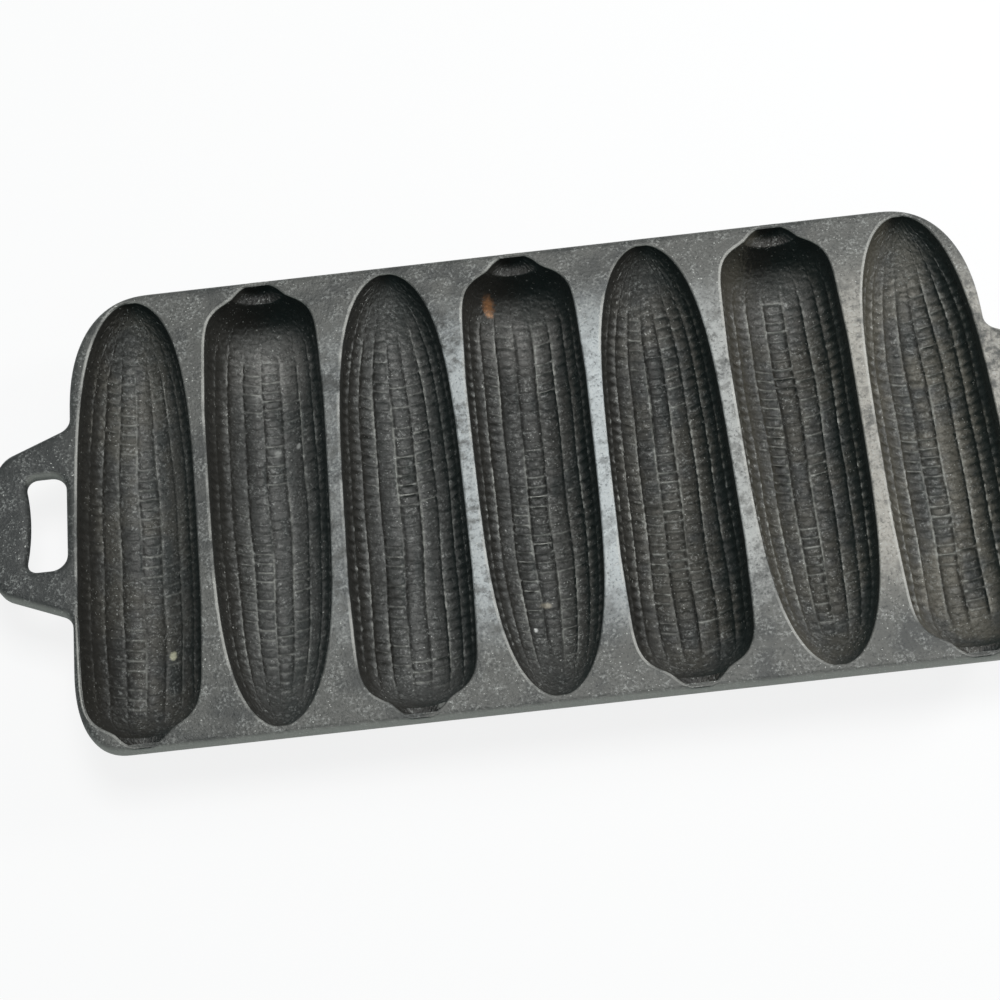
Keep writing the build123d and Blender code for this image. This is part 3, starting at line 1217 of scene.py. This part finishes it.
class Nodes:
    """Adds shader nodes to one material and links them as it goes."""

    def __init__(self, name: str) -> None:
        """Starts a material with an empty node tree."""
        self.material = bpy.data.materials.new(name)
        self.material.use_nodes = True
        self.tree = self.material.node_tree
        self.tree.nodes.clear()

    def add(
        self, kind: str, inputs: dict[str | int, object], output: str | int = 0, **settings: object
    ) -> Socket | bpy.types.Node:
        """Adds one node.

        Args:
            kind: Blender's name for the node's type.
            inputs: Value, or socket to link, for each input by name or number.
            output: Which output to hand back.
            **settings: Properties of the node.

        Returns:
            The output socket, or the node itself where it has no output.
        """
        node = self.tree.nodes.new(kind)
        for key, value in settings.items():
            setattr(node, key, value)
        for key, value in inputs.items():
            if isinstance(value, bpy.types.NodeSocket):
                self.tree.links.new(value, node.inputs[key])
            else:
                node.inputs[key].default_value = value
        return node.outputs[output] if len(node.outputs) else node

    def math(self, operation: str, first: Socket | float, second: Socket | float = 0.0) -> Socket:
        """Works out one number from two."""
        return self.add("ShaderNodeMath", {0: first, 1: second}, operation=operation)

    def noise(self, where: Socket, noise: Noise) -> Socket:
        """Noise from 0 to 1."""
        inputs = {"Vector": where, "Scale": 1 / noise.size}
        inputs |= {"Detail": noise.detail, "Roughness": noise.rough}
        return self.add("ShaderNodeTexNoise", inputs)

    def window(self, value: Socket, span: Span) -> Socket:
        """Goes smoothly from 0 to 1 between two values."""
        inputs = {"Value": value, "From Min": span[0], "From Max": span[1], "To Min": 0.0, "To Max": 1.0}
        return self.add("ShaderNodeMapRange", inputs, interpolation_type="SMOOTHSTEP")

    def near(self, value: Socket, centre: float, span: Span) -> Socket:
        """Goes smoothly from 0 to 1 between two distances from a centre."""
        return self.window(self.math("ABSOLUTE", self.math("SUBTRACT", value, centre)), span)

    def parts(self, vector: Socket) -> tuple[Socket, Socket, Socket]:
        """Splits a vector into its three numbers."""
        node = self.tree.nodes.new("ShaderNodeSeparateXYZ")
        self.tree.links.new(vector, node.inputs[0])
        return node.outputs[0], node.outputs[1], node.outputs[2]

    def normal(self) -> tuple[Socket, Socket, Socket]:
        """The three parts of the direction that the surface faces."""
        return self.parts(self.add("ShaderNodeNewGeometry", {}, "Normal"))

    def attribute(self, name: str) -> Socket:
        """Share that a piece stores for each of its points, or 0 where it stores none."""
        return self.add("ShaderNodeAttribute", {}, "Fac", attribute_name=name)

    def times(self, first: Socket, *others: Socket | float) -> Socket:
        """Multiplies numbers."""
        for other in others:
            first = self.math("MULTIPLY", first, other)
        return first

    def mix(self, share: Socket, first: Socket | Colour, second: Socket | Colour) -> Socket:
        """Mixes two colours."""
        return self.add("ShaderNodeMix", {0: share, 6: first, 7: second}, 2, data_type="RGBA")

    def lay(self, below: Socket | Colour, above: Socket | Colour, share: Socket, level: float) -> Socket:
        """Lays one colour over another, where a share is high and up to a level."""
        return self.mix(self.times(share, level), below, above)


@dataclass(frozen=True)
class Noise:
    """A noise by the size of its features in metres, its detail and its roughness."""

    size: float
    detail: float
    rough: float


@dataclass(frozen=True)
class Skin:
    """The places and noises that every layer of the finish reads."""

    nodes: Nodes
    where: Socket
    x: Socket
    y: Socket
    grain: Socket
    mottle: Socket
    patch: Socket

    def specks(self, grain: Span, mottle: Span) -> Socket:
        """Share of fine specks, which come in small clouds."""
        window = self.nodes.window
        return self.nodes.times(window(self.grain, grain), window(self.mottle, mottle))


@dataclass(frozen=True)
class Mark:
    """A small stain or crumb on the iron, as a soft blob with a ragged edge."""

    place: tuple[float, float, float]
    radii: tuple[float, float, float]
    colour: Colour
    strength: float = 0.9
    edge: Span = (1.6, 0.9)
    ragged: float = 0.9

    def over(self, skin: Skin, colour: Socket) -> Socket:
        """Lays the mark over a colour.

        Args:
            skin: Places and noises of the iron.
            colour: Colour below the mark.

        Returns:
            The colour with the mark on it.
        """
        nodes = skin.nodes
        inputs = {
            "Vector": skin.where,
            "Location": tuple(-place / radius for place, radius in zip(self.place, self.radii)),
            "Scale": tuple(1 / radius for radius in self.radii),
        }
        scaled = nodes.add("ShaderNodeMapping", inputs)
        away = nodes.add("ShaderNodeVectorMath", {0: scaled}, "Value", operation="LENGTH")
        away = nodes.math("ADD", away, nodes.times(skin.grain, self.ragged))
        return nodes.lay(colour, self.colour, nodes.window(away, self.edge), self.strength)


@dataclass(frozen=True)
class HollowFinish:
    """Iron inside the cups: painted shade on the steep walls, in the grooves and in the stem troughs,
    painted light on some walls and far floors, sooty darkening in the middle cups, and wear with a painted
    highlight along the crests.
    """

    inside: Colour = (0.090, 0.090, 0.086, 1.0)
    # Painted shade on the steep walls, darkest on the right walls that face left, and painted light on the
    # walls that face right in the right hand cups.
    left_wall_shade: Colour = (0.030, 0.028, 0.024, 1.0)
    right_wall_shade: Colour = (0.016, 0.026, 0.025, 1.0)
    lit_wall: Colour = (0.110, 0.100, 0.078, 1.0)
    brown: Colour = (0.112, 0.102, 0.080, 1.0)
    pale_brown: Colour = (0.190, 0.172, 0.134, 1.0)
    # Sooty black, used for sooty darkening and grain, and for painted shade in the grooves and stem
    # troughs.
    soot_and_shade: Colour = (0.012, 0.011, 0.010, 1.0)
    # Painted light that lightens the floors at the far ends of the cups, where the far walls shade them.
    painted_light: Colour = (0.175, 0.170, 0.160, 1.0)
    # Wear with a painted highlight, laid on the crests that face up.
    worn: Colour = (0.36, 0.36, 0.33, 1.0)
    speck: Colour = (0.34, 0.345, 0.33, 1.0)
    # Painted shade by how steep the surface is and which way it faces.
    steep_shade_up: Span = (0.84, 0.34)
    steep_shade_level: float = 0.88
    right_side: Span = (0.25, -0.25)
    lit_side: Span = (0.2, 0.5)
    lit_wall_x: Span = (0.035, 0.085)
    brown_middle_x: float = -0.045
    brown_away: Span = (0.03, 0.09)
    brown_patch: Span = (0.40, 0.60)
    brown_level: float = 0.5
    pale_brown_x: Span = (0.085, 0.12)
    # Painted light below the far butt walls and at the far ends of the cups.
    far_butt_light_level: float = 0.8
    far_y: Span = (0.030, 0.055)
    far_x: Span = (-0.07, -0.035)
    far_light_level: float = 0.25
    sooty_middle_x: float = 0.04
    sooty_away: Span = (0.075, 0.03)
    sooty_level: float = 0.24
    corner_x: Span = (-0.09, -0.12)
    corner_y: Span = (0.02, -0.05)
    corner_level: float = 0.4
    # Painted shade in the stem troughs.
    stem_shade_level: float = 0.7
    dark_patch: Span = (0.50, 0.36)
    patch_level: float = 0.3
    # Painted shade in the grooves beside the crests.
    groove_shade_level: float = 0.6
    dark_grain: Span = (0.50, 0.36)
    grain_level: float = 0.4
    # Wear with a painted highlight on the crests, only where they face up.
    crest_highlight_up: Span = (0.5, 0.92)
    crest_mottle: Span = (0.30, 0.54)
    crest_level: float = 0.85
    speck_grain: Span = (0.53, 0.62)
    speck_mottle: Span = (0.42, 0.62)
    speck_level: float = 0.5

    def colour(self, skin: Skin) -> Socket:
        """Mixes the colour inside the cups.

        Args:
            skin: Places and noises of the iron.

        Returns:
            The colour.
        """
        nodes, x = skin.nodes, skin.x
        to_right, _, up = nodes.normal()
        # wall is the painted shade and painted light of the steep walls.
        wall = self._wall_shade(nodes, x, to_right)
        brownish = nodes.times(
            nodes.window(skin.patch, self.brown_patch), nodes.near(x, self.brown_middle_x, self.brown_away)
        )
        brown = nodes.mix(nodes.window(x, self.pale_brown_x), self.brown, self.pale_brown)
        colour = nodes.lay(self.inside, brown, brownish, self.brown_level)
        # Painted light on the floor below the far butt walls and at the far ends of the cups.
        lit_far_butt = nodes.window(nodes.attribute("butt"), (0.0, 1.0))
        colour = nodes.lay(colour, self.painted_light, lit_far_butt, self.far_butt_light_level)
        lit_far_end = nodes.times(nodes.window(skin.y, self.far_y), nodes.window(x, self.far_x))
        colour = nodes.lay(colour, self.painted_light, lit_far_end, self.far_light_level)
        # Sooty darkening in the middle cups and at the near left corner, and painted shade in the stem
        # troughs.
        colour = nodes.mix(self._soot_and_stem_shade(nodes, x, skin.y), colour, self.soot_and_shade)
        colour = nodes.lay(colour, wall, nodes.window(skin.patch, self.dark_patch), self.patch_level)
        # Painted shade in the grooves beside the crests.
        colour = nodes.lay(colour, self.soot_and_shade, nodes.attribute("groove"), self.groove_shade_level)
        colour = nodes.lay(colour, self.soot_and_shade, nodes.window(skin.grain, self.dark_grain), self.grain_level)
        # Wear with a painted highlight on the crests, only where they face up.
        bare = nodes.times(nodes.window(skin.mottle, self.crest_mottle), nodes.window(up, self.crest_highlight_up))
        crest = nodes.times(nodes.attribute("crest"), bare)
        colour = nodes.lay(colour, self.worn, crest, self.crest_level)
        specks = skin.specks(self.speck_grain, self.speck_mottle)
        colour = nodes.lay(colour, self.speck, specks, self.speck_level)
        # Painted shade on the steep walls, by how steeply they face.
        return nodes.lay(colour, wall, nodes.window(up, self.steep_shade_up), self.steep_shade_level)

    def _wall_shade(self, nodes: Nodes, x: Socket, to_right: Socket) -> Socket:
        """Painted shade on the steep walls, darkest where they face left, with painted light on the walls
        that face right in the right hand cups.

        Args:
            nodes: The material's nodes.
            x: Place along the row of cups.
            to_right: How far the surface faces right.

        Returns:
            The colour.
        """
        # Painted light on walls that face right in the right hand cups, and painted shade darkest on walls
        # that face left.
        pale = nodes.times(nodes.window(x, self.lit_wall_x), nodes.window(to_right, self.lit_side))
        left = nodes.mix(pale, self.left_wall_shade, self.lit_wall)
        return nodes.mix(nodes.window(to_right, self.right_side), left, self.right_wall_shade)

    def _soot_and_stem_shade(self, nodes: Nodes, x: Socket, y: Socket) -> Socket:
        """Share of sooty darkening in the middle cups and at the near left corner, and of painted shade in
        the stem troughs.

        Args:
            nodes: The material's nodes.
            x: Place along the row of cups.
            y: Place along the cups.

        Returns:
            The largest of the three shares.
        """
        middle = nodes.times(nodes.near(x, self.sooty_middle_x, self.sooty_away), self.sooty_level)
        corner = nodes.times(nodes.window(x, self.corner_x), nodes.window(y, self.corner_y))
        corner = nodes.times(corner, self.corner_level)
        # Painted shade in the stem troughs.
        stem = nodes.times(nodes.attribute("stem"), self.stem_shade_level)
        return nodes.math("MAXIMUM", nodes.math("MAXIMUM", middle, corner), stem)


@dataclass(frozen=True)
class DeckFinish:
    """Iron of the deck and the outside: dark at the corners and handles, bare metal with a painted
    reflection along the middle webs, and a painted highlight on surfaces that face the cook.
    """

    deck: Colour = (0.103, 0.102, 0.095, 1.0)
    dark_deck: Colour = (0.034, 0.036, 0.036, 1.0)
    # Bare metal with a painted reflection of the light along the middle webs.
    bare: Colour = (0.40, 0.42, 0.425, 1.0)
    warm_bare: Colour = (0.40, 0.375, 0.335, 1.0)
    # Painted highlight on surfaces that face the cook.
    near_side_highlight: Colour = (0.36, 0.36, 0.33, 1.0)
    speck: Colour = (0.34, 0.345, 0.33, 1.0)
    dark_away: Span = (0.128, 0.146)
    dark_level: float = 0.8
    dark_patch: Span = (0.56, 0.36)
    patch_level: float = 0.6
    worn_x: Span = (-0.085, -0.002)
    worn_middle_y: float = 0.002
    worn_away: Span = (0.062, 0.034)
    # Painted glare on the web between the fourth and fifth cups.
    glare_x: float = 0.02
    glare_away: Span = (0.03, 0.008)
    glare_level: float = 0.14
    cloud_patch: float = 0.6
    cloud_mottle: float = 0.7
    cloud: Span = (0.42, 0.72)
    hole_mottle: Span = (0.52, 0.40)
    hole_level: float = 0.3
    warm_x: Span = (0.03, 0.10)
    bare_level: float = 0.94
    fainter_x: Span = (0.035, 0.075)
    fainter_level: float = 0.26
    speck_grain: Span = (0.48, 0.62)
    speck_mottle: Span = (0.42, 0.64)
    speck_level: float = 0.5
    dark_grain: Span = (0.46, 0.32)
    grain_level: float = 0.6
    near_side: Span = (-0.2, -0.85)
    near_side_highlight_level: float = 0.8

    def colour(self, skin: Skin) -> Socket:
        """Mixes the colour of the deck.

        Args:
            skin: Places and noises of the iron.

        Returns:
            The colour.
        """
        nodes, x = skin.nodes, skin.x
        ends = nodes.times(nodes.near(x, 0.0, self.dark_away), self.dark_level)
        blotch = nodes.times(nodes.window(skin.patch, self.dark_patch), self.patch_level)
        colour = nodes.mix(nodes.math("MAXIMUM", ends, blotch), self.deck, self.dark_deck)
        # Bare metal with a painted reflection along the middle webs.
        bare = nodes.mix(nodes.window(x, self.warm_x), self.bare, self.warm_bare)
        colour = nodes.mix(self._wear_and_reflection(skin), colour, bare)
        specks = skin.specks(self.speck_grain, self.speck_mottle)
        colour = nodes.lay(colour, self.speck, specks, self.speck_level)
        dark = nodes.window(skin.grain, self.dark_grain)
        colour = nodes.lay(colour, self.dark_deck, dark, self.grain_level)
        # Painted highlight on surfaces that face the cook, such as the deck's near edge.
        _, to_back, _ = nodes.normal()
        return nodes.lay(colour, self.near_side_highlight, nodes.window(to_back, self.near_side), self.near_side_highlight_level)

    def _wear_and_reflection(self, skin: Skin) -> Socket:
        """Share of bare metal with a painted reflection, in ragged clouds along the middle webs, with a
        painted glare between the fourth and fifth cups.

        Args:
            skin: Places and noises of the iron.

        Returns:
            The share.
        """
        nodes, x = skin.nodes, skin.x
        webs = nodes.times(
            nodes.window(x, self.worn_x), nodes.near(skin.y, self.worn_middle_y, self.worn_away)
        )
        # Painted glare between the fourth and fifth cups.
        glare = nodes.times(nodes.near(x, self.glare_x, self.glare_away), self.glare_level)
        patches = nodes.times(skin.patch, self.cloud_patch)
        cloud = nodes.math("ADD", patches, nodes.times(skin.mottle, self.cloud_mottle))
        cloud = nodes.window(nodes.math("ADD", cloud, glare), self.cloud)
        holes = nodes.times(nodes.window(skin.mottle, self.hole_mottle), self.hole_level)
        cloud = nodes.times(cloud, nodes.math("SUBTRACT", 1.0, holes))
        fainter = nodes.times(nodes.window(x, self.fainter_x), self.fainter_level)
        return nodes.times(webs, cloud, nodes.math("SUBTRACT", self.bare_level, fainter))


@dataclass(frozen=True)
class CastIron:
    """Seasoned cast iron: nearly black in the cups, greyer on the deck, with worn rims that carry a painted
    highlight on their left sides, painted light and shade in places, and a few marks.
    """

    hollow: HollowFinish = HollowFinish()
    deck: DeckFinish = DeckFinish()
    grain: Noise = Noise(0.0009, 3.0, 0.7)
    mottle: Noise = Noise(0.0034, 4.0, 0.62)
    patch: Noise = Noise(0.015, 3.0, 0.55)
    crumbs: Noise = Noise(0.0007, 1.0, 0.5)
    crumb: Colour = (0.52, 0.52, 0.49, 1.0)
    crumb_window: Span = (0.70, 0.75)
    crumb_patch: Span = (0.38, 0.60)
    crumb_level: float = 0.75
    # Worn rim colour, with a painted highlight on the lip's left side.
    rim: Colour = (0.46, 0.45, 0.42, 1.0)
    rim_patch: Span = (0.34, 0.62)
    rim_level: float = 0.7
    grain_height: float = 0.75
    mottle_height: float = 0.9
    bump_distance: float = 0.00032
    bump_strength: float = 0.9
    rough: float = 0.38
    rough_patch: float = 0.22
    metallic: float = 0.3
    sheen_level: float = 0.3
    marks: tuple[Mark, ...] = (
        Mark((-0.0096, 0.0640, 0.0080), (0.0026, 0.0036, 0.008), (0.40, 0.19, 0.085, 1.0)),
        Mark((-0.0096, 0.0612, 0.0060), (0.0022, 0.0014, 0.006), (0.80, 0.45, 0.26, 1.0)),
        Mark((-0.1145, -0.0387, 0.0044), (0.0013, 0.0016, 0.004), (0.62, 0.60, 0.44, 1.0)),
        Mark((-0.0796, 0.0245, 0.0039), (0.0016, 0.0018, 0.004), (0.40, 0.40, 0.38, 1.0), 0.7),
        Mark((-0.0727, 0.0254, 0.0054), (0.0009, 0.0012, 0.004), (0.50, 0.50, 0.48, 1.0), 0.8),
        Mark((-0.0016, -0.0365, 0.0044), (0.0022, 0.0012, 0.004), (0.34, 0.31, 0.25, 1.0), 0.8),
        Mark((-0.0053, -0.0447, 0.0064), (0.0008, 0.0008, 0.004), (0.75, 0.75, 0.72, 1.0)),
        Mark((-0.0340, -0.0690, 0.0214), (0.0016, 0.0012, 0.003), (0.42, 0.42, 0.39, 1.0), 0.6),
    )

    def material(self) -> bpy.types.Material:
        """Builds the finish."""
        nodes = Nodes(SLOT)
        where = nodes.add("ShaderNodeTexCoord", {}, "Object")
        x, y, _ = nodes.parts(where)
        grain = nodes.noise(where, self.grain)
        mottle = nodes.noise(where, self.mottle)
        patch = nodes.noise(where, self.patch)
        skin = Skin(nodes, where, x, y, grain, mottle, patch)
        height = nodes.math(
            "ADD", nodes.times(grain, self.grain_height), nodes.times(mottle, self.mottle_height)
        )
        bump = {"Height": height, "Distance": self.bump_distance, "Strength": self.bump_strength}
        inputs = {
            "Base Color": self._colour(skin),
            "Roughness": nodes.math("ADD", nodes.times(patch, self.rough_patch), self.rough),
            "Metallic": self.metallic,
            "Specular IOR Level": self.sheen_level,
            "Normal": nodes.add("ShaderNodeBump", bump),
        }
        shader = nodes.add("ShaderNodeBsdfPrincipled", inputs)
        nodes.add("ShaderNodeOutputMaterial", {"Surface": shader})
        return nodes.material

    def _colour(self, skin: Skin) -> Socket:
        """Mixes the colour of the whole pan.

        Args:
            skin: Places and noises of the iron.

        Returns:
            The colour.
        """
        nodes = skin.nodes
        hollow = self.hollow.colour(skin)
        for mark in self.marks:
            hollow = mark.over(skin, hollow)
        colour = nodes.mix(nodes.attribute("hollow"), self.deck.colour(skin), hollow)
        crumbs = nodes.window(nodes.noise(skin.where, self.crumbs), self.crumb_window)
        crumbs = nodes.times(crumbs, nodes.window(skin.patch, self.crumb_patch))
        colour = nodes.lay(colour, self.crumb, crumbs, self.crumb_level)
        # Worn rim line with a painted highlight on the lip's left side.
        rim = nodes.times(nodes.attribute("rim"), nodes.window(skin.patch, self.rim_patch))
        return nodes.lay(colour, self.rim, rim, self.rim_level)


@dataclass(frozen=True)
class Lamp:
    """A square soft light that looks at the pan, in metres and watts."""

    name: str
    place: tuple[float, float, float]
    size: float
    power: float

    def build(self) -> None:
        """Hangs the light."""
        data = bpy.data.lights.new(self.name, "AREA")
        data.size = self.size
        data.energy = self.power
        lamp = bpy.data.objects.new(self.name, data)
        bpy.context.scene.collection.objects.link(lamp)
        away = Vector(self.place)
        lamp.matrix_world = Matrix.Translation(away) @ away.to_track_quat("Z", "Y").to_matrix().to_4x4()


@dataclass(frozen=True)
class Studio:
    """Pale floor, plain light and a camera where the photograph was taken."""

    focal_pixels: float = 2127.723
    image_pixels: float = 1000.0
    sensor_mm: float = 36.0
    turn: tuple[float, float, float] = (2.73660552, -0.147097934, -0.0538106767)
    shift_mm: tuple[float, float, float] = (10.6403492, -9.6250652, 632.827548)
    floor_size: float = 6.0
    floor_colour: Colour = (0.8, 0.8, 0.8, 1.0)
    floor_white_share: float = 0.85
    light: Colour = (0.20, 0.245, 0.25, 1.0)
    white: Colour = (1.0, 1.0, 1.0, 1.0)
    lamps: tuple[Lamp, ...] = (
        Lamp("key", (0.62, 0.20, 0.42), 0.22, 2.4),
        Lamp("overhead", (0.12, 0.28, 1.36), 0.6, 13.5),
    )

    def camera(self, pan: Pan) -> None:
        """Places the camera."""
        data = bpy.data.cameras.new("camera")
        data.sensor_fit = "HORIZONTAL"
        data.sensor_width = self.sensor_mm
        data.lens = self.focal_pixels / self.image_pixels * self.sensor_mm
        camera = bpy.data.objects.new("camera", data)
        bpy.context.scene.collection.objects.link(camera)
        axis = Vector(self.turn)
        world_to_view = Matrix.Rotation(axis.length, 3, axis.normalized())
        place = Vector((0, 0, pan.top)) - world_to_view.transposed() @ Vector(self.shift_mm)
        facing = world_to_view.transposed() @ Matrix.Diagonal((1.0, -1.0, -1.0))
        camera.matrix_world = Matrix.Translation(place * METRE) @ facing.to_4x4()
        bpy.context.scene.camera = camera

    def world(self) -> None:
        """White surroundings to the camera, and a plain level of light."""
        world = bpy.data.worlds.new("surroundings")
        world.use_nodes = True
        tree = world.node_tree
        tree.nodes.clear()
        path = tree.nodes.new("ShaderNodeLightPath")
        level = tree.nodes.new("ShaderNodeMix")
        level.data_type = "RGBA"
        level.inputs[6].default_value = self.light
        level.inputs[7].default_value = self.white
        tree.links.new(path.outputs["Is Camera Ray"], level.inputs[0])
        back = tree.nodes.new("ShaderNodeBackground")
        tree.links.new(level.outputs[2], back.inputs["Color"])
        out = tree.nodes.new("ShaderNodeOutputWorld")
        tree.links.new(back.outputs[0], out.inputs["Surface"])
        bpy.context.scene.world = world

    def floor(self) -> None:
        """Lays a pale floor that keeps the pan's shadow and is nearly white to the camera."""
        deselect()
        bpy.ops.mesh.primitive_plane_add(size=self.floor_size)
        floor = bpy.context.object
        floor.name = "floor"
        nodes = Nodes("pale_floor")
        camera_ray = nodes.add("ShaderNodeLightPath", {}, "Is Camera Ray")
        plain = nodes.add("ShaderNodeBsdfDiffuse", {"Color": self.floor_colour})
        white = nodes.add("ShaderNodeEmission", {"Color": self.white, "Strength": 1.0})
        share = nodes.times(camera_ray, self.floor_white_share)
        surface = nodes.add("ShaderNodeMixShader", {0: share, 1: plain, 2: white})
        nodes.add("ShaderNodeOutputMaterial", {"Surface": surface})
        floor.data.materials.append(nodes.material)

    def build(self, pan: Pan) -> None:
        """Sets up the whole studio."""
        self.floor()
        self.world()
        for lamp in self.lamps:
            lamp.build()
        self.camera(pan)
        bpy.context.scene.view_settings.view_transform = "Standard"


def main() -> None:
    """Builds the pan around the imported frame, dresses it and lights it."""
    logging.basicConfig(level=logging.INFO, format="%(message)s")
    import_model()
    pan = Pan()
    finish = CastIron().material()
    seams = []
    for index in range(pan.cups):
        cup = CobCup(pan, index)
        piece, seam = cup.build()
        dress(piece, cup.name, finish)
        seams.append(seam)
    for name, piece in Deck(pan, seams).build().items():
        dress(piece, name, finish)
    Studio().build(pan)


def dress(piece: bpy.types.Object, node: str, finish: bpy.types.Material) -> None:
    """Gives a piece its finish and its place in the frame.

    Args:
        piece: The new piece.
        node: The CAD node that it stands for.
        finish: Its material.
    """
    piece.name = node + "_iron"
    piece.data.materials.clear()
    piece.data.materials.append(finish)
    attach(piece, BODY)
    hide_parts(node)
    log.info("%s: %d vertices, %d faces", piece.name, len(piece.data.vertices), len(piece.data.polygons))


if __name__ == "__main__":
    main()
